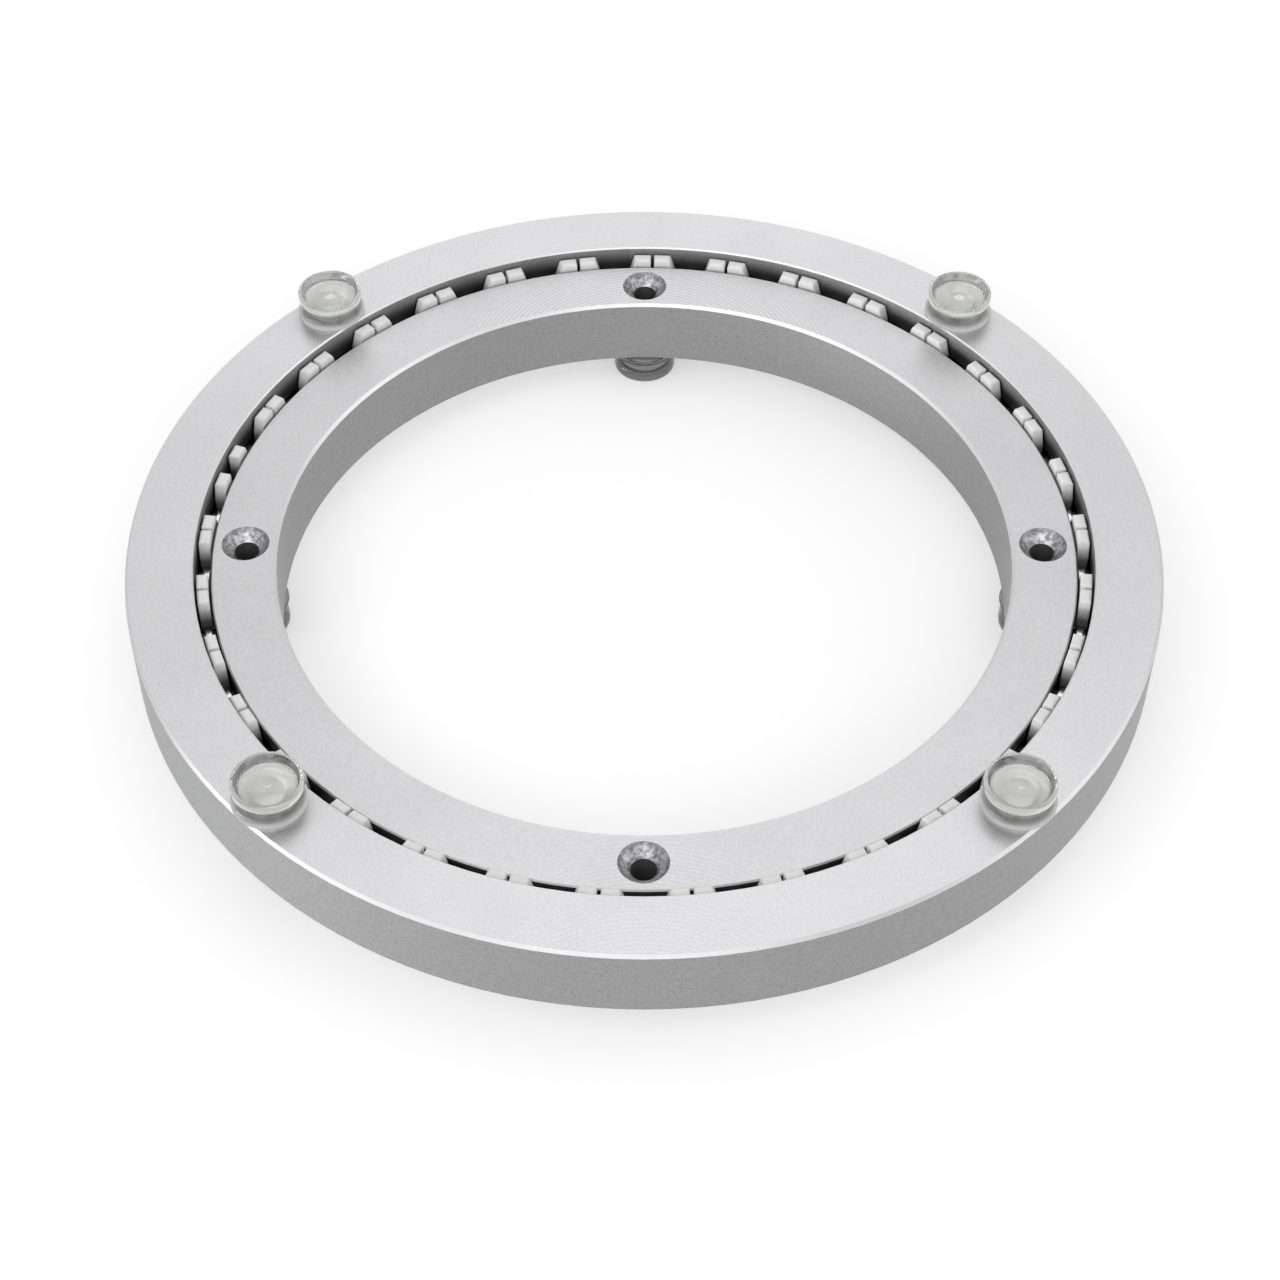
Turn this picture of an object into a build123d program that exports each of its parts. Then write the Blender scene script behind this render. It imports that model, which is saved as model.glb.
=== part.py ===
"""Lazy susan bearing: two grooved aluminium rings, 33 steel balls in an open snap cage, clear pads and feet."""

import os
from math import cos, degrees, radians, sin

from build123d import *

# Rings, in millimetres. The inner ring is the fixed base and the outer ring turns.
bore_diameter = 100.0
inner_ring_width = 8.8
running_gap = 2.15
outer_ring_width = 9.05
inner_ring_height = 10.75
outer_ring_height = 11.2
outer_ring_lift = 1.55
edge_break = 0.4
gap_edge_break = 0.2

# Balls and the grooves that they run in
ball_count = 33
ball_diameter = 5.0
groove_clearance = 0.1

# Cage: a plastic strip bent to a ring, with prongs that snap over the balls
cage_clearance = 0.3
cage_rise = 1.0
cage_floor = 1.4
pocket_clearance = 0.12
snap_grip = 0.5
lead_in_spread = 0.8
lead_in_depth = 2.6
tip_drop = 0.36
tip_run = 0.32
slit_width = 0.5
slit_drop = 1.3
strip_opening = 3.3
opening_azimuth = 166.0
prong_edge_radius = 0.35

# Screw holes of both rings and the seats for the bumpers' stems
screw_hole_count = 4
screw_hole_diameter = 3.4
countersink_diameter = 6.5
countersink_angle = 90.0
pad_azimuth = 45.0

# Bumpers, used as pads above and as slightly taller feet below
pad_height = 3.9
foot_height = 4.5
rim_diameter = 9.2
rim_height = 1.1
rim_radius = 0.25
waist_diameter = 8.4
flange_diameter = 9.7
flange_height = 0.5
taper_height = 0.5
rim_wall = 0.5
dish_depth = 1.0
gate_mark_diameter = 0.9
gate_mark_height = 0.25
stem_diameter = 4.0
stem_clearance = 0.1
stem_length = 2.6
stem_end_clearance = 0.4
stem_nose = 0.4

# Radii that follow from the ring widths
bore_radius = bore_diameter / 2
inner_ring_radius = bore_radius + inner_ring_width
outer_ring_bore_radius = inner_ring_radius + running_gap
outer_radius = outer_ring_bore_radius + outer_ring_width
pitch_radius = inner_ring_radius + running_gap / 2
inner_hole_radius = bore_radius + inner_ring_width / 2
outer_hole_radius = outer_ring_bore_radius + outer_ring_width / 2

# Bumper sizes that follow, with the holes that take the stems
dish_diameter = rim_diameter - 2 * rim_wall
stem_seat_radius = stem_diameter / 2 + stem_clearance
stem_seat_depth = stem_length + stem_end_clearance

# Heights that follow, from the surface that the feet stand on
inner_bottom = foot_height
inner_top = inner_bottom + inner_ring_height
outer_bottom = inner_bottom + outer_ring_lift
outer_top = outer_bottom + outer_ring_height
ball_height = (outer_bottom + inner_top) / 2

# Cage sizes that follow from the gap, the balls and the number of pockets
ball_radius = ball_diameter / 2
groove_radius = ball_radius + groove_clearance
pocket_radius = ball_radius + pocket_clearance
cage_inner_radius = inner_ring_radius + cage_clearance
cage_outer_radius = outer_ring_bore_radius - cage_clearance
cage_thickness = cage_outer_radius - cage_inner_radius
cage_top = inner_top + cage_rise
cage_bottom = ball_height - pocket_radius - cage_floor
throat_half = (ball_diameter - snap_grip) / 2
tip_half = throat_half + lead_in_spread * (lead_in_depth - tip_drop) / lead_in_depth
slit_root = ball_height - slit_drop
slit_half = slit_width / 2
opening_half = strip_opening / 2
opening_angle = degrees((strip_opening - slit_width) / pitch_radius)
pocket_pitch = (360.0 - opening_angle) / ball_count
first_pocket = opening_azimuth + (opening_angle + pocket_pitch) / 2
pocket_azimuths = [first_pocket + pocket_pitch * i for i in range(ball_count)]
slit_azimuths = [azimuth + pocket_pitch / 2 for azimuth in pocket_azimuths[:-1]]


def at_azimuth(radius, azimuth, height):
    """The point at this radius and height, turned from the X axis by the azimuth in degrees."""
    return (radius * cos(radians(azimuth)), radius * sin(radians(azimuth)), height)


def cage_wall(azimuth):
    """The upright plane just inside the cage, facing outwards: x runs along the strip and y is height."""
    return Plane(
        origin=at_azimuth(cage_inner_radius - cage_thickness, azimuth, 0),
        x_dir=at_azimuth(1, azimuth + 90, 0),
        z_dir=at_azimuth(1, azimuth, 0),
    )


def make_ring(
    label,
    inside_radius,
    outside_radius,
    hole_radius,
    bottom,
    height,
    screws_from_above,
    first_azimuth,
):
    """A turned ring with broken edges, the ball groove, and countersunk screw holes that open into stem seats."""
    faces = [Plane.XY.offset(bottom + height), Plane(origin=(0, 0, bottom), z_dir=(0, 0, -1))]
    screw_face, stem_face = faces if screws_from_above else reversed(faces)
    with BuildPart() as ring:
        with BuildSketch(Plane.XZ):
            with Locations((inside_radius, bottom)):
                section = Rectangle(outside_radius - inside_radius, height, align=Align.MIN)
            corners = sorted(section.vertices(), key=lambda corner: abs(corner.X - pitch_radius))
            chamfer(corners[:2], gap_edge_break)
            chamfer(corners[2:], edge_break)
            with Locations((pitch_radius, ball_height)):
                Circle(groove_radius, mode=Mode.SUBTRACT)
        revolve(axis=Axis.Z)
        with Locations(screw_face):
            with PolarLocations(hole_radius, screw_hole_count, first_azimuth):
                CounterSinkHole(screw_hole_diameter / 2, countersink_diameter / 2, None, countersink_angle)
        with Locations(stem_face):
            with PolarLocations(hole_radius, screw_hole_count, first_azimuth):
                Hole(stem_seat_radius, stem_seat_depth)
    ring.part.label = label
    return ring


def make_bumper(label, seat, bumper_height):
    """A moulded clear bumper: stem, flange, waist and a rim round a shallow dish with its gate mark."""
    side = Plane(origin=seat.origin, x_dir=seat.x_dir, z_dir=-seat.y_dir)
    rim_start = bumper_height - rim_height
    dish_floor = bumper_height - dish_depth
    gate_top = dish_floor + gate_mark_height
    with BuildPart() as bumper:
        with BuildSketch(side):
            with BuildLine():
                Polyline(
                    (0, gate_top),
                    (0, -stem_length),
                    (stem_diameter / 2 - stem_nose, -stem_length),
                    (stem_diameter / 2, stem_nose - stem_length),
                    (stem_diameter / 2, 0),
                    (flange_diameter / 2, 0),
                    (flange_diameter / 2, flange_height),
                    (waist_diameter / 2, flange_height + taper_height),
                    (waist_diameter / 2, rim_start - taper_height),
                    (rim_diameter / 2, rim_start),
                    (rim_diameter / 2, bumper_height - rim_radius),
                )
                RadiusArc(
                    (rim_diameter / 2, bumper_height - rim_radius),
                    (rim_diameter / 2 - rim_radius, bumper_height),
                    -rim_radius,
                )
                Line((rim_diameter / 2 - rim_radius, bumper_height), (dish_diameter / 2, bumper_height))
                RadiusArc(
                    (dish_diameter / 2, bumper_height),
                    (dish_diameter / 2 - dish_depth, dish_floor),
                    dish_depth,
                )
                Line((dish_diameter / 2 - dish_depth, dish_floor), (gate_mark_diameter / 2, dish_floor))
                Polyline(
                    (gate_mark_diameter / 2, dish_floor),
                    (gate_mark_diameter / 2, gate_top),
                    (0, gate_top),
                )
            make_face()
        revolve(axis=Axis(seat.origin, seat.z_dir))
    bumper.part.label = label
    return bumper


os.makedirs("parts", exist_ok=True)

# Inner ring: the fixed base, countersunk from above, with the feet's stems seated from below
inner_ring = make_ring(
    "inner_ring", bore_radius, inner_ring_radius, inner_hole_radius, inner_bottom, inner_ring_height, True, 0.0
)
export_step(inner_ring.part, "parts/inner_ring.step")

# Outer ring: the turning top, countersunk from below, with the pads' stems seated from above
outer_ring = make_ring(
    "outer_ring",
    outer_ring_bore_radius,
    outer_radius,
    outer_hole_radius,
    outer_bottom,
    outer_ring_height,
    False,
    pad_azimuth,
)
export_step(outer_ring.part, "parts/outer_ring.step")

# Cage: the strip's section turned round the axis, then the pockets, slits and the opening cut outwards
with BuildPart() as cage:
    with BuildSketch(Plane.XZ):
        with Locations((pitch_radius, (cage_bottom + cage_top) / 2)):
            strip = Rectangle(cage_thickness, cage_top - cage_bottom)
        fillet(strip.vertices(), prong_edge_radius)
    revolve(axis=Axis.Z)
    with BuildSketch(*[cage_wall(azimuth) for azimuth in pocket_azimuths]):
        with BuildLine():
            flank = Polyline(
                (0, ball_height),
                (throat_half, ball_height),
                (throat_half, cage_top - lead_in_depth),
                (tip_half, cage_top - tip_drop),
            )
            tip = TangentArc(flank @ 1, (tip_half + tip_run, cage_top), tangent=flank % 1)
            lid = Polyline(tip @ 1, (tip_half + 2 * tip_run, cage_top + tip_drop), (0, cage_top + tip_drop))
            mirror([flank, tip, lid], about=Plane.YZ)
        make_face()
        with Locations((0, ball_height)):
            Circle(pocket_radius)
    extrude(amount=3 * cage_thickness, mode=Mode.SUBTRACT)
    with BuildSketch(*[cage_wall(azimuth) for azimuth in slit_azimuths]):
        with BuildLine():
            side = Polyline((0, slit_root), (slit_half, slit_root), (slit_half, cage_top - tip_drop))
            tip = TangentArc(side @ 1, (slit_half + tip_run, cage_top), tangent=side % 1)
            lid = Polyline(tip @ 1, (slit_half + 2 * tip_run, cage_top + tip_drop), (0, cage_top + tip_drop))
            mirror([side, tip, lid], about=Plane.YZ)
        make_face()
        with Locations((0, slit_root)):
            Circle(slit_half)
    extrude(amount=3 * cage_thickness, mode=Mode.SUBTRACT)
    with BuildSketch(cage_wall(opening_azimuth)):
        with BuildLine():
            side = Polyline((0, 0), (opening_half, 0), (opening_half, cage_top - tip_drop))
            tip = TangentArc(side @ 1, (opening_half + tip_run, cage_top), tangent=side % 1)
            lid = Polyline(tip @ 1, (opening_half + 2 * tip_run, cage_top + tip_drop), (0, cage_top + tip_drop))
            mirror([side, tip, lid], about=Plane.YZ)
        make_face()
    extrude(amount=3 * cage_thickness, mode=Mode.SUBTRACT)
cage.part.label = "ball_cage"
export_step(cage.part, "parts/ball_cage.step")

# Balls: one in each pocket, numbered round from the strip's opening
for number, azimuth in enumerate(pocket_azimuths, start=1):
    with BuildPart(Plane(origin=at_azimuth(pitch_radius, azimuth, ball_height))) as ball:
        Sphere(ball_radius)
    ball.part.label = f"ball_{number:02d}"
    export_step(ball.part, f"parts/ball_{number:02d}.step")

# Bumpers: pads plugged into the outer ring's top and feet into the inner ring's underside
for number in range(screw_hole_count):
    foot_azimuth = 360.0 / screw_hole_count * number
    pad_seat = Plane(
        origin=at_azimuth(outer_hole_radius, foot_azimuth + pad_azimuth, outer_top),
        x_dir=at_azimuth(1, foot_azimuth + pad_azimuth, 0),
        z_dir=(0, 0, 1),
    )
    foot_seat = Plane(
        origin=at_azimuth(inner_hole_radius, foot_azimuth, inner_bottom),
        x_dir=at_azimuth(1, foot_azimuth, 0),
        z_dir=(0, 0, -1),
    )
    pad = make_bumper(f"pad_{number + 1}", pad_seat, pad_height)
    foot = make_bumper(f"foot_{number + 1}", foot_seat, foot_height)
    export_step(pad.part, f"parts/pad_{number + 1}.step")
    export_step(foot.part, f"parts/foot_{number + 1}.step")
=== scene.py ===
"""Lazy susan bearing: satin aluminium rings, steel balls in a white cage, clear bumpers, on a pale floor."""

import bpy
import numpy as np
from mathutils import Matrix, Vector


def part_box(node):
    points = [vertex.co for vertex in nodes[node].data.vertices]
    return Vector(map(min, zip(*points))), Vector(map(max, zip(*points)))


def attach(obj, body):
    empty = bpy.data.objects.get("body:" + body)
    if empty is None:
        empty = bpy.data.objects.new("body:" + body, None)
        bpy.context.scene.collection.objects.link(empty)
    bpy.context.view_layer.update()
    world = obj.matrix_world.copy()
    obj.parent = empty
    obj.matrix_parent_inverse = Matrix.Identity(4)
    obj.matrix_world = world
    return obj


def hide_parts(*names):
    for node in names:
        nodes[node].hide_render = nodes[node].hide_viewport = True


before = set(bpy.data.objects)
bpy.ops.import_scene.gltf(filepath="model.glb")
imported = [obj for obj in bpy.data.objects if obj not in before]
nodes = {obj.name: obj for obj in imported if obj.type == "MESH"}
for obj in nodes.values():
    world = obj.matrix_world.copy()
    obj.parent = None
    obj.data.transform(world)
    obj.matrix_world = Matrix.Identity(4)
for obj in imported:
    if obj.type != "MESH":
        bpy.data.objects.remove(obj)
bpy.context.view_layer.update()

# Base ring: the fixed inner ring, turned from aluminium plate and left with a satin machined skin.
# Its faces carry fine cutter arcs, its bore and wall are painted darker than its faces as shade, and four
# screw holes are countersunk.
# The walls beside the balls are darkened deep in the gap as painted shade, standing also for grease.
base_bore = 0.050
base_shine = 0.84

# Each set of cutter arcs has its centre on the Y axis, its reach and the depth of its marks
base_arcs = [(0.036, 0.034, 0.085), (-0.078, 0.036, 0.04)]
arc_spacing = 0.00062
arc_fade_share = 0.6


def new_material(name):
    """An empty node material with its Principled shader: returns the material, its tree and the shader."""
    material = bpy.data.materials.new(name)
    material.use_nodes = True
    return material, material.node_tree, material.node_tree.nodes["Principled BSDF"]


def node(tree, kind, settings=None, **sockets):
    """A shader node: settings are its properties, sockets are values or links by socket name or number."""
    made = tree.nodes.new(kind)
    for key, value in (settings or {}).items():
        setattr(made, key, value)
    for key, value in sockets.items():
        socket = made.inputs[int(key[1:])] if key[1:].isdigit() else made.inputs[key]
        if isinstance(value, bpy.types.NodeSocket):
            tree.links.new(value, socket)
        else:
            socket.default_value = value
    return made


def math(tree, operation, a, b=0.0, c=0.0):
    """One arithmetic step on numbers or sockets, as a socket."""
    return node(tree, "ShaderNodeMath", {"operation": operation}, i0=a, i1=b, i2=c).outputs[0]


def remap(tree, value, low, high, to_low, to_high):
    """The value carried smoothly from one range to another and held at its ends."""
    settings = {"interpolation_type": "SMOOTHSTEP"}
    made = node(tree, "ShaderNodeMapRange", settings, i0=value, i1=low, i2=high, i3=to_low, i4=to_high)
    return made.outputs[0]


def blend(tree, share, first, second):
    """A colour between two, by the share: each end is a colour triple or another node's socket."""
    made = node(tree, "ShaderNodeMix", {"data_type": "RGBA"}, i0=share)
    for socket, value in ((made.inputs[6], first), (made.inputs[7], second)):
        if isinstance(value, bpy.types.NodeSocket):
            tree.links.new(value, socket)
        else:
            socket.default_value = (*value, 1)
    return made.outputs[2]


def noise(tree, place, scale, detail=2.0, roughness=0.5):
    """An uneven cloud between 0 and 1 over the piece's own coordinates, as a socket."""
    made = node(tree, "ShaderNodeTexNoise", Vector=place, Scale=scale, Detail=detail, Roughness=roughness)
    return made.outputs[0]


def distance_from(tree, place, centre_y):
    """Distance in plan from a point on the Y axis."""
    offset = node(tree, "ShaderNodeVectorMath", {"operation": "SUBTRACT"}, i0=place, i1=(0, centre_y, 0))
    flat = node(tree, "ShaderNodeVectorMath", {"operation": "MULTIPLY"}, i0=offset.outputs[0], i1=(1, 1, 0))
    return node(tree, "ShaderNodeVectorMath", {"operation": "LENGTH"}, i0=flat.outputs[0]).outputs["Value"]


def cutter_arcs(tree, place, centre_y, reach, depth):
    """Fine arcs round a point on the Y axis: a sine of the distance, fading to nothing at its reach."""
    distance = distance_from(tree, place, centre_y)
    wave = math(tree, "SINE", math(tree, "MULTIPLY", distance, 2 * np.pi / arc_spacing))
    return math(tree, "MULTIPLY", wave, remap(tree, distance, arc_fade_share * reach, reach, depth, 0))


screw_circle = 0.0544
screw_radius = 0.0017
hole_edge = (1.05 * screw_radius, 1.3 * screw_radius)


def off_screws(tree, place):
    """Distance in plan from the nearest of the four screw holes, which lie on the X and Y axes."""
    folded = node(tree, "ShaderNodeVectorMath", {"operation": "ABSOLUTE"}, i0=place).outputs[0]
    parts = node(tree, "ShaderNodeSeparateXYZ", i0=folded).outputs
    outward = math(tree, "SUBTRACT", math(tree, "MAXIMUM", parts["X"], parts["Y"]), screw_circle)
    sideways = math(tree, "MINIMUM", parts["X"], parts["Y"])
    squares = math(tree, "MULTIPLY_ADD", outward, outward, math(tree, "MULTIPLY", sideways, sideways))
    return math(tree, "SQRT", squares)


# The painted shade and grease fade out beside and above the grooves, in metres, and where a face is flat
# enough to stay clear
cage_thickness = 0.00155
groove_side = (0.0024, 0.0030)
above_groove = (0.0030, 0.0036)
cleared_slope = (0.55, 0.75)


def gap_shade_and_grease(tree, place, radius, level, full_to, clean_from):
    """The share of painted shade and grease: full in the gap and grooves level with the balls, none on flat
    faces.
    """
    ball_low, ball_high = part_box("ball_01")
    ball_height = (ball_low.z + ball_high.z) / 2
    gap_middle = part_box("ball_cage")[1].x - cage_thickness / 2
    height = node(tree, "ShaderNodeSeparateXYZ", i0=place).outputs["Z"]
    off_balls = math(tree, "ABSOLUTE", math(tree, "SUBTRACT", height, ball_height))
    off_gap = math(tree, "ABSOLUTE", math(tree, "SUBTRACT", radius, gap_middle))
    beside = remap(tree, off_gap, *groove_side, 1, 0)
    flat = remap(tree, level, *cleared_slope, 0, 1)
    cleared = math(tree, "MULTIPLY", flat, remap(tree, off_balls, *above_groove, 0, 1))
    film = math(tree, "MULTIPLY", remap(tree, off_balls, full_to, clean_from, 1, 0), beside)
    return math(tree, "MULTIPLY", film, math(tree, "SUBTRACT", 1.0, cleared))


# Colours of the rings, a dark and a light one where grain or marks mix them
# The walls' two colours are painted shade: the walls are drawn darker than the faces because they face
# sideways
wall_shade_dark, wall_shade_light = (0.305, 0.306, 0.309), (0.375, 0.376, 0.379)
face_dark, face_light = (0.56, 0.56, 0.57), (0.64, 0.64, 0.65)
countersink_dark, countersink_light = (0.20, 0.20, 0.205), (0.52, 0.52, 0.53)
# The broken edges' colours are a painted highlight, the bore's edge brightest
rim_edge_highlight, bore_edge_highlight = (0.56, 0.56, 0.57), (0.68, 0.68, 0.69)
pit_colour = (0.24, 0.24, 0.245)
# Painted shade inside the screw holes
hole_shade_colour = (0.15, 0.15, 0.155)
mouth_shade_colour = (0.16, 0.16, 0.165)
# Near black: painted shade deep in the gap between the parts, standing also for grease
gap_shade_and_grease_colour = (0.055, 0.055, 0.055)

# Values of a texture over which one look passes into the next
noise_middle = (0.3, 0.7)
face_grain = (0.25, 0.75)
chatter_marks = (0.38, 0.62)
pit_size = (0.02, 0.16)

# The same for the upright part of the surface's normal, which is one on a flat face and nought on a wall
bevel_slope = (0.35, 0.60)
face_slope = (0.80, 0.97)
gloss_slope = (0.3, 0.9)

# The same for metres off the balls' height, metres below the face, and shares of the ring's width
ring_shade_and_grease_ends = (0.0032, 0.0066)
mouth_shade_depth = (0.0002, 0.0007)
edge_share = (0.40, 0.44)
half_way_share = (0.4, 0.6)

# Strengths of the painted shade at the countersinks' mouths, the faces' cloudiness, the gloss and the arcs'
# relief
mouth_shade_strength = 0.6
cloudiness = 0.10
wall_roughness, face_roughness, grain_roughness = 0.50, 0.30, 0.16
arc_relief = 8.0


def satin_aluminium(name, cad_node, bore, shine, arc_centres):
    """Machined aluminium: bright faces, painted highlight on edges, painted shade on walls, holes and mouths,
    painted shade and grease by the balls, arcs, pits.
    """
    material, tree, shader = new_material(name)
    coordinates = node(tree, "ShaderNodeTexCoord")
    place = coordinates.outputs["Object"]
    upright = node(tree, "ShaderNodeSeparateXYZ", i0=coordinates.outputs["Normal"]).outputs["Z"]
    level = math(tree, "ABSOLUTE", upright)
    rim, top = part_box(cad_node)[1].x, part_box(cad_node)[1].z
    width = rim - bore
    radius = distance_from(tree, place, 0)
    off_middle = math(tree, "ABSOLUTE", math(tree, "SUBTRACT", radius, (rim + bore) / 2))
    near_edge = remap(tree, off_middle, edge_share[0] * width, edge_share[1] * width, 0, 1)
    half_way = [bore + share * width for share in half_way_share]
    bore_side = remap(tree, radius, *half_way, 1, 0)
    height = node(tree, "ShaderNodeSeparateXYZ", i0=place).outputs["Z"]
    depth = math(tree, "SUBTRACT", top, height)

    # Walls with grain and pits, painted darker than the faces as shade, and painted shade inside the screw
    # holes
    grain = noise(tree, place, scale=2600.0, detail=3.0, roughness=0.6)
    pits = node(tree, "ShaderNodeTexVoronoi", Vector=place, Scale=650.0).outputs["Distance"]
    wall = blend(tree, remap(tree, grain, *noise_middle, 0, 1), wall_shade_dark, wall_shade_light)
    wall = blend(tree, remap(tree, pits, *pit_size, 1, 0), wall, pit_colour)
    in_hole = remap(tree, off_screws(tree, place), *hole_edge, 1, 0)
    wall = blend(tree, in_hole, wall, hole_shade_colour)

    # Faces with arcs and a faint cloudiness
    cloud = noise(tree, place, scale=90.0)
    face = blend(tree, remap(tree, grain, *face_grain, 0, 1), face_dark, face_light)
    arcs = 0.0
    for centre_y, reach, arc_depth in arc_centres:
        arcs = math(tree, "ADD", cutter_arcs(tree, place, centre_y, reach, arc_depth), arcs)
    tone = math(tree, "ADD", arcs, math(tree, "MULTIPLY_ADD", cloud, cloudiness, shine))
    face = node(tree, "ShaderNodeVectorMath", {"operation": "SCALE"}, i0=face, Scale=tone).outputs[0]

    # Slopes: countersinks with chatter marks and painted shade at the mouth, and the broken edges with a
    # painted highlight
    chatter = noise(tree, place, scale=1500.0, detail=3.0, roughness=0.65)
    marks = remap(tree, chatter, *chatter_marks, 0, 1)
    countersink = blend(tree, marks, countersink_dark, countersink_light)
    # Painted shade at the countersink's mouth, darkest just below the face
    mouth_shade = remap(tree, depth, *mouth_shade_depth, mouth_shade_strength, 0)
    countersink = blend(tree, mouth_shade, countersink, mouth_shade_colour)
    # Painted highlight on the broken edges
    edge = blend(tree, bore_side, rim_edge_highlight, bore_edge_highlight)
    bevel = blend(tree, near_edge, countersink, edge)

    sloping = remap(tree, upright, *bevel_slope, 0, 1)
    flat = remap(tree, level, *face_slope, 0, 1)
    colour = blend(tree, flat, blend(tree, sloping, wall, bevel), face)
    # Painted shade and grease, dark in the gap level with the balls
    shade_and_grease = gap_shade_and_grease(tree, place, radius, level, *ring_shade_and_grease_ends)
    colour = blend(tree, shade_and_grease, colour, gap_shade_and_grease_colour)
    tree.links.new(colour, shader.inputs["Base Color"])

    # Gloss stretched along the turning marks, rougher on the walls
    even_rough = remap(tree, level, *gloss_slope, wall_roughness, face_roughness)
    rough = math(tree, "MULTIPLY_ADD", grain, grain_roughness, even_rough)
    tree.links.new(rough, shader.inputs["Roughness"])
    shader.inputs["Metallic"].default_value = 1.0
    shader.inputs["Anisotropic"].default_value = 0.6
    shader.inputs["Anisotropic Rotation"].default_value = 0.25
    across = node(tree, "ShaderNodeVectorMath", {"operation": "CROSS_PRODUCT"}, i0=(0, 0, 1), i1=place)
    settings = {"vector_type": "VECTOR", "convert_from": "OBJECT", "convert_to": "WORLD"}
    along = node(tree, "ShaderNodeVectorTransform", settings, i0=across.outputs[0])
    tree.links.new(along.outputs[0], shader.inputs["Tangent"])
    relief = math(tree, "MULTIPLY_ADD", arcs, arc_relief, grain)
    bump = node(tree, "ShaderNodeBump", Strength=0.12, Distance=0.00002, Height=relief)
    tree.links.new(bump.outputs[0], shader.inputs["Normal"])
    return material


base_ring_metal = satin_aluminium("base_ring_metal", "inner_ring", base_bore, base_shine, base_arcs)
nodes["inner_ring"].data.materials[0] = base_ring_metal

# Feet: four clear moulded silicone bumpers whose stems plug into the base ring's holes from below.
# Each is a soft spool with a flange, a waist and a rim round a shallow dish with the mould's gate mark.
rim_radius = 0.0046
rim_height = 0.0011
rim_wall = 0.0005
rim_rounding = 0.00025
flange_height = 0.0005
flange_rounding = 0.00014
waist_radius = 0.0042
waist_power = 2.5
dish_depth = 0.0010
dish_draft = 20
lip_rounding = 0.0001
floor_radius = 0.0033
floor_rounding = 0.00055
gate_radius = 0.00045
gate_height = 0.00022
stem_radius = 0.0020
stem_length = 0.0026
stem_nose = 0.0004
seat_gap = 0.00003
silicone_ior = 1.41
silicone_gloss = (0.03, 0.09)
thinnest_painted_shade = 0.85


def arc(centre_r, centre_h, radius, start, end, steps=8):
    """Points (radius, height) on a circle's arc, from one angle in degrees to another."""
    turn = np.radians(np.linspace(start, end, steps))
    return np.stack([centre_r + radius * np.cos(turn), centre_h + radius * np.sin(turn)], axis=1)


def with_painted_shade(points, painted_shade):
    """Profile points (radius, height) with a third column, how much painted shade darkens the clear plastic
    there.
    """
    points = np.array(points)
    return np.column_stack([points, np.broadcast_to(painted_shade, len(points))])


def bumper_profile(flange_radius, bumper_height):
    """Half section from the stem's end to the dish's middle: straight stem, flange, waist, rim and dish.

    The waist is a power curve between the flange and the rim, and the corners are arcs.
    The painted shade column is full in the middle of the waist and on the dish's wall.
    """
    stem = [
        (0, -stem_length),
        (stem_radius - stem_nose, -stem_length),
        (stem_radius, stem_nose - stem_length),
        (stem_radius, 0),
        (stem_radius, seat_gap),
    ]
    edge = flange_radius - flange_rounding
    rim_low = bumper_height - rim_height
    sweep = np.linspace(-1, 1, 21)
    swell = np.where(sweep < 0, edge - waist_radius, rim_radius - waist_radius)
    waist_r = waist_radius + swell * np.abs(sweep) ** waist_power
    waist_h = flange_height + (rim_low - flange_height) * (sweep + 1) / 2
    dish_radius = rim_radius - rim_wall
    floor = bumper_height - dish_depth
    gate = arc(0, 0, gate_radius, 0, 90, 9) * [1, gate_height / gate_radius] + [0, floor]
    flange_low = arc(edge, seat_gap + flange_rounding, flange_rounding, -90, 0)
    flange_top = arc(edge, flange_height - flange_rounding, flange_rounding, 0, 80)
    waist = np.stack([waist_r, waist_h], axis=1)
    rim = arc(rim_radius - rim_rounding, bumper_height - rim_rounding, rim_rounding, 0, 90)
    lip = arc(dish_radius + lip_rounding, bumper_height - lip_rounding, lip_rounding, 90, 180 - dish_draft, 5)
    dish = arc(floor_radius, floor + floor_rounding, floor_rounding, -dish_draft, -90, 10)
    return np.concatenate(
        [
            with_painted_shade(np.concatenate([stem, flange_low, flange_top]), 0),
            with_painted_shade(waist, 1 - sweep**4),
            with_painted_shade(rim, 0),
            with_painted_shade(lip, np.linspace(0, 1, len(lip))),
            with_painted_shade(dish, np.linspace(1, 0, len(dish))),
            with_painted_shade(gate, 0),
        ]
    )


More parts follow.
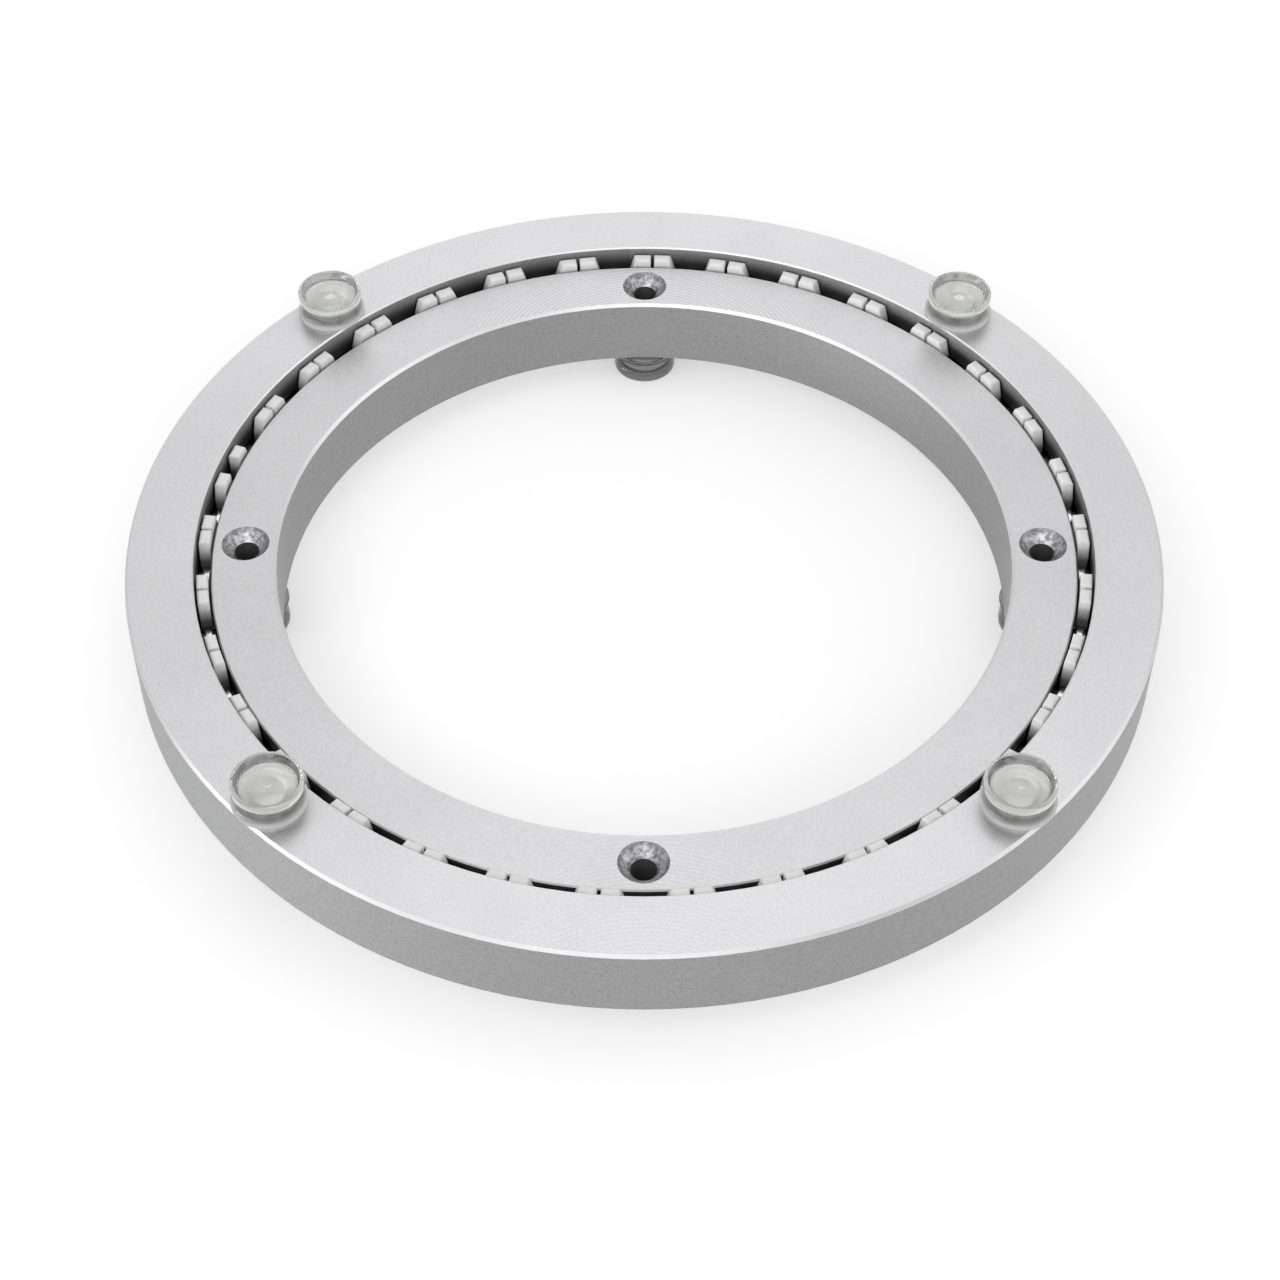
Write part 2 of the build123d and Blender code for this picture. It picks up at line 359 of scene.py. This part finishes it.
def turned_mesh(name, profile, centre, up, turns=96):
    """A surface of revolution: each profile point goes round the axis through centre.

    The first and the last point lie on the axis, and fans of triangles close the ends there.
    """
    angle = np.arange(turns) * 2 * np.pi / turns
    rings = profile[1:-1]
    around = np.stack([np.cos(angle), np.sin(angle)], axis=1)
    flat = rings[:, None, 0, None] * around[None]
    height = np.broadcast_to(rings[:, None, 1, None], (*flat.shape[:2], 1)) * up
    flat[..., 1] *= up
    grid = np.concatenate([flat, height], axis=2).reshape(-1, 3)
    ends = np.array([(0, 0, profile[0, 1] * up), (0, 0, profile[-1, 1] * up)])
    points = np.concatenate([grid, ends]) + np.array(centre)
    row, column = np.meshgrid(np.arange(len(rings) - 1), np.arange(turns), indexing="ij")
    here = row * turns + column
    beside = row * turns + (column + 1) % turns
    quads = np.stack([here, beside, beside + turns, here + turns], axis=2).reshape(-1, 4)
    step = np.arange(turns)
    after = (step + 1) % turns
    first = np.stack([np.full(turns, len(grid)), after, step], axis=1)
    top = (len(rings) - 1) * turns
    last = np.stack([np.full(turns, len(grid) + 1), top + step, top + after], axis=1)
    mesh = bpy.data.meshes.new(name)
    mesh.from_pydata(points.tolist(), [], quads.tolist() + first.tolist() + last.tolist())
    mesh.polygons.foreach_set("use_smooth", np.ones(len(mesh.polygons), bool))
    painted_shade = np.concatenate([np.repeat(rings[:, 2], turns), profile[[0, -1], 2]])
    mesh.attributes.new("painted_shade", "FLOAT", "POINT").data.foreach_set("value", painted_shade)
    return mesh


def clear_silicone(name, clear, shaded):
    """Clear soft plastic, darkened by painted shade where the painted_shade attribute says, with a faintly
    uneven moulded skin.
    """
    material, tree, shader = new_material(name)
    place = node(tree, "ShaderNodeTexCoord").outputs["Object"]
    skin = noise(tree, place, scale=700.0)
    # Painted shade on the waist and the dish's wall, a little uneven
    painted_shade = node(tree, "ShaderNodeAttribute", {"attribute_name": "painted_shade"}).outputs["Fac"]
    painted_shade = math(tree, "MULTIPLY", painted_shade, remap(tree, skin, *noise_middle, thinnest_painted_shade, 1.0))
    tree.links.new(blend(tree, painted_shade, clear, shaded), shader.inputs["Base Color"])
    tree.links.new(remap(tree, skin, *noise_middle, *silicone_gloss), shader.inputs["Roughness"])
    shader.inputs["Transmission Weight"].default_value = 1.0
    shader.inputs["IOR"].default_value = silicone_ior
    bump = node(tree, "ShaderNodeBump", Strength=0.03, Distance=0.00005, Height=skin)
    tree.links.new(bump.outputs[0], shader.inputs["Normal"])
    return material


def bonded_skin(name, dark, light, metallic):
    """A hidden side of the bumper, where the plastic clings to the metal, mottled between two greys."""
    material, tree, shader = new_material(name)
    place = node(tree, "ShaderNodeTexCoord").outputs["Object"]
    cling = noise(tree, place, scale=1500.0)
    tree.links.new(blend(tree, cling, dark, light), shader.inputs["Base Color"])
    shader.inputs["Metallic"].default_value = metallic
    shader.inputs["Roughness"].default_value = 0.45
    return material


# The feet are darker copies of the pads' plastic and seat: painted shade under the ring
foot_plastic_in_shade = clear_silicone("foot_plastic_in_shade", clear=(0.42, 0.42, 0.41), shaded=(0.16, 0.16, 0.16))
foot_seat_skin_in_shade = bonded_skin("foot_seat_skin_in_shade", (0.36, 0.36, 0.355), (0.44, 0.44, 0.435), metallic=0.6)
stem_skin = bonded_skin("stem_skin", (0.92, 0.925, 0.91), (0.96, 0.965, 0.95), metallic=0.0)
plastic_slot, seat_slot, stem_slot = 0, 1, 2


def make_bumper(name, cad_node, body, seat_height, up, plastic, seat_skin):
    """A bumper in place of its CAD solid: the profile turned about the solid's own axis from its seat."""
    low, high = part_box(cad_node)
    centre = ((low.x + high.x) / 2, (low.y + high.y) / 2, seat_height)
    tall = high.z - seat_height if up > 0 else seat_height - low.z
    profile = bumper_profile((high.x - low.x) / 2, tall)
    bumper = bpy.data.objects.new(name, turned_mesh(name, profile, centre, up))
    bpy.context.scene.collection.objects.link(bumper)
    for material in (plastic, seat_skin, stem_skin):
        bumper.data.materials.append(material)
    middles = np.empty(len(bumper.data.polygons) * 3)
    bumper.data.polygons.foreach_get("center", middles)
    above_seat = (middles[2::3] - seat_height) * up
    on_seat = np.where(above_seat < 1.2 * seat_gap, seat_slot, plastic_slot)
    slots = np.where(above_seat < 0, stem_slot, on_seat)
    bumper.data.polygons.foreach_set("material_index", slots.astype(np.int32))
    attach(bumper, body)
    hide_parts(cad_node)


foot_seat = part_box("inner_ring")[0].z
for number in range(1, 5):
    foot_name = f"clear_foot_{number}"
    make_bumper(foot_name, f"foot_{number}", "base", foot_seat, -1, foot_plastic_in_shade, foot_seat_skin_in_shade)

# Cage: one moulded strip of natural white plastic, bent to an open ring, whose prongs snap over the balls.
# It runs in the gap between the rings with its prong tips just above the base ring's face.
cage_dark, cage_light = (0.84, 0.84, 0.83), (0.90, 0.90, 0.89)
shaded_greased_plastic = (0.10, 0.10, 0.10)
cage_shade_and_grease_ends = (0.0022, 0.0050)
cage_shade_and_grease_share = 0.9
prong_rounding = 0.0003


def moulded_plastic(name):
    """Natural white moulded plastic with a fine texture and a soft sheen, its pockets darkened by painted
    shade and grease.
    """
    material, tree, shader = new_material(name)
    coordinates = node(tree, "ShaderNodeTexCoord")
    place = coordinates.outputs["Object"]
    upright = node(tree, "ShaderNodeSeparateXYZ", i0=coordinates.outputs["Normal"]).outputs["Z"]
    speck = noise(tree, place, scale=1800.0)
    white = blend(tree, remap(tree, speck, *noise_middle, 0, 1), cage_dark, cage_light)
    # Painted shade and grease darken the prongs deep in the gap, level with the balls
    shade_and_grease = gap_shade_and_grease(tree, place, distance_from(tree, place, 0), upright, *cage_shade_and_grease_ends)
    white = blend(tree, math(tree, "MULTIPLY", shade_and_grease, cage_shade_and_grease_share), white, shaded_greased_plastic)
    tree.links.new(white, shader.inputs["Base Color"])
    shader.inputs["Roughness"].default_value = 0.45
    soft_edge = node(tree, "ShaderNodeBevel", {"samples": 6}, Radius=prong_rounding).outputs[0]
    bump = node(tree, "ShaderNodeBump", Strength=0.1, Distance=0.00003, Height=speck, Normal=soft_edge)
    tree.links.new(bump.outputs[0], shader.inputs["Normal"])
    return material


nodes["ball_cage"].data.materials[0] = moulded_plastic("cage_plastic_white")

# Balls: hardened steel balls, ground and polished, one in each pocket of the cage.
# They roll in the grooves of both rings and show only as bright caps deep between the prongs.
steel_dark, steel_light = (0.60, 0.60, 0.61), (0.70, 0.70, 0.71)
steel_gloss = (0.08, 0.18)


def polished_steel(name):
    """Polished ball steel with a faint oily unevenness in its gloss."""
    material, tree, shader = new_material(name)
    place = node(tree, "ShaderNodeTexCoord").outputs["Object"]
    film = noise(tree, place, scale=600.0)
    tree.links.new(blend(tree, film, steel_dark, steel_light), shader.inputs["Base Color"])
    tree.links.new(remap(tree, film, *noise_middle, *steel_gloss), shader.inputs["Roughness"])
    shader.inputs["Metallic"].default_value = 1.0
    return material


ball_steel = polished_steel("ball_steel_polished")
for name in sorted(nodes):
    if name.startswith("ball_") and name != "ball_cage":
        nodes[name].data.materials[0] = ball_steel

# Turning ring: the outer ring, cut from the same plate and finished in the same way as the base ring.
# It stands a little higher than the base ring, so that only its pads touch what lies on the bearing.
turning_bore = 0.06095
turning_shine = 0.89
turning_arcs = [(-0.086, 0.034, 0.03)]
turning_ring_metal = satin_aluminium(
    "turning_ring_metal", "outer_ring", turning_bore, turning_shine, turning_arcs
)
nodes["outer_ring"].data.materials[0] = turning_ring_metal

# Pads: four more of the same silicone bumpers, plugged into the turning ring's face from above.
# They grip a tray or a glass top, and are clearer than the feet, whose plastic and seat are painted darker as
# shade.
pad_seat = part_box("outer_ring")[1].z
pad_plastic = clear_silicone("pad_plastic", clear=(0.97, 0.975, 0.965), shaded=(0.09, 0.09, 0.086))
pad_seat_skin = bonded_skin("pad_seat_skin", (0.80, 0.805, 0.795), (0.88, 0.885, 0.875), metallic=0.6)
for number in range(1, 5):
    pad_name = f"clear_pad_{number}"
    make_bumper(pad_name, f"pad_{number}", "turntable", pad_seat, 1, pad_plastic, pad_seat_skin)

# Floor: a pale matt sheet under the bearing, white to the camera and in reflections, with the shadow kept.
# Camera, mirror and glass rays see it a little lifted, more so far away, so that it meets the surround.
floor_half = 4.0
floor_paint = (0.80, 0.80, 0.80, 1)
lift_grows = (0.35, 1.1)
near_lift, far_lift = 0.39, 0.62
corners = np.array([(-1, -1, 0), (1, -1, 0), (1, 1, 0), (-1, 1, 0)]) * floor_half
floor_mesh = bpy.data.meshes.new("pale_floor")
floor_mesh.from_pydata(corners.tolist(), [], [(0, 1, 2, 3)])
pale_floor = bpy.data.objects.new("pale_floor", floor_mesh)
bpy.context.scene.collection.objects.link(pale_floor)


def seen_rays(tree):
    """One for rays that show the surround, from the camera, off metal or through glass, else zero."""
    path = node(tree, "ShaderNodeLightPath")
    seen = math(tree, "MAXIMUM", path.outputs["Is Camera Ray"], path.outputs["Is Glossy Ray"])
    return math(tree, "MAXIMUM", seen, path.outputs["Is Transmission Ray"])


floor_material, floor_tree, floor_shader = new_material("pale_floor_paint")
floor_shader.inputs["Base Color"].default_value = floor_paint
floor_shader.inputs["Roughness"].default_value = 0.9
floor_shader.inputs["Specular IOR Level"].default_value = 0.0
floor_shader.inputs["Emission Color"].default_value = (1, 1, 1, 1)
floor_place = node(floor_tree, "ShaderNodeTexCoord").outputs["Object"]
floor_distance = distance_from(floor_tree, floor_place, 0)
floor_lift = remap(floor_tree, floor_distance, *lift_grows, near_lift, far_lift)
seen_lift = math(floor_tree, "MULTIPLY", seen_rays(floor_tree), floor_lift)
floor_tree.links.new(seen_lift, floor_shader.inputs["Emission Strength"])
floor_mesh.materials.append(floor_material)

# Light: a plain white surround, white to the eye and half as strong as a light, with six soft lamps.
# Two stand behind, one high and one low, and the others at the front left, left, right and front.
surround_light = 0.5
surround_seen = 1.0
world = bpy.data.worlds.new("studio_surround")
bpy.context.scene.world = world
world.use_nodes = True
surround = world.node_tree.nodes["Background"]
surround.inputs["Color"].default_value = (1, 1, 1, 1)
seen = seen_rays(world.node_tree)
strength = math(world.node_tree, "MULTIPLY_ADD", seen, surround_seen - surround_light, surround_light)
world.node_tree.links.new(strength, surround.inputs["Strength"])


def soft_lamp(name, place, size, watts):
    """A flat soft lamp, as wide and as high as its size says, at a place and turned to face the bearing."""
    lamp = bpy.data.lights.new(name, "AREA")
    lamp.shape = "RECTANGLE"
    lamp.size, lamp.size_y = size
    lamp.energy = watts
    holder = bpy.data.objects.new(name, lamp)
    holder.location = place
    holder.rotation_mode = "QUATERNION"
    holder.rotation_quaternion = (-Vector(place)).to_track_quat("-Z", "Y")
    bpy.context.scene.collection.objects.link(holder)


soft_lamp("high_back_lamp", place=(0.10, 0.35, 1.00), size=(0.8, 0.8), watts=1.0)
soft_lamp("low_back_lamp", place=(0.0, 1.0, 0.42), size=(0.6, 0.6), watts=0.57)
soft_lamp("front_left_lamp", place=(-0.5, -0.5, 0.9), size=(0.6, 0.6), watts=1.6)
soft_lamp("left_lamp", place=(-0.88, -0.36, 0.09), size=(0.8, 0.14), watts=2.8)
soft_lamp("right_lamp", place=(0.95, -0.10, 0.30), size=(0.8, 0.8), watts=1.6)
soft_lamp("front_lamp", place=(0.0, -0.95, 0.74), size=(0.9, 0.4), watts=2.2)

# Camera: about 45 degrees above the bearing's face, a third of a metre away, aimed in front of the axis.
# Its angle, distance and lens are fitted to the ellipses that the rings make in the photograph.
camera_elevation = np.radians(45.34)
camera_distance = 0.350
camera_focal_px = 2574.2
image_px = 1280
sensor_mm = 36.0
aim_offset = Vector((-0.00055, -0.01029, -0.01017))
face_centre = Vector((0, 0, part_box("outer_ring")[1].z))
camera_data = bpy.data.cameras.new("photo_camera")
camera_data.sensor_width = sensor_mm
camera_data.lens = sensor_mm * camera_focal_px / image_px
camera_data.clip_start = 0.01
camera_data.clip_end = 20.0
camera = bpy.data.objects.new("photo_camera", camera_data)
toward_camera = Vector((0, -np.cos(camera_elevation), np.sin(camera_elevation)))
camera.location = face_centre + toward_camera * camera_distance
camera.rotation_mode = "QUATERNION"
camera.rotation_quaternion = (face_centre + aim_offset - camera.location).to_track_quat("-Z", "Y")
bpy.context.scene.collection.objects.link(camera)
bpy.context.scene.camera = camera
bpy.context.scene.view_settings.view_transform = "Standard"

bpy.context.view_layer.update()
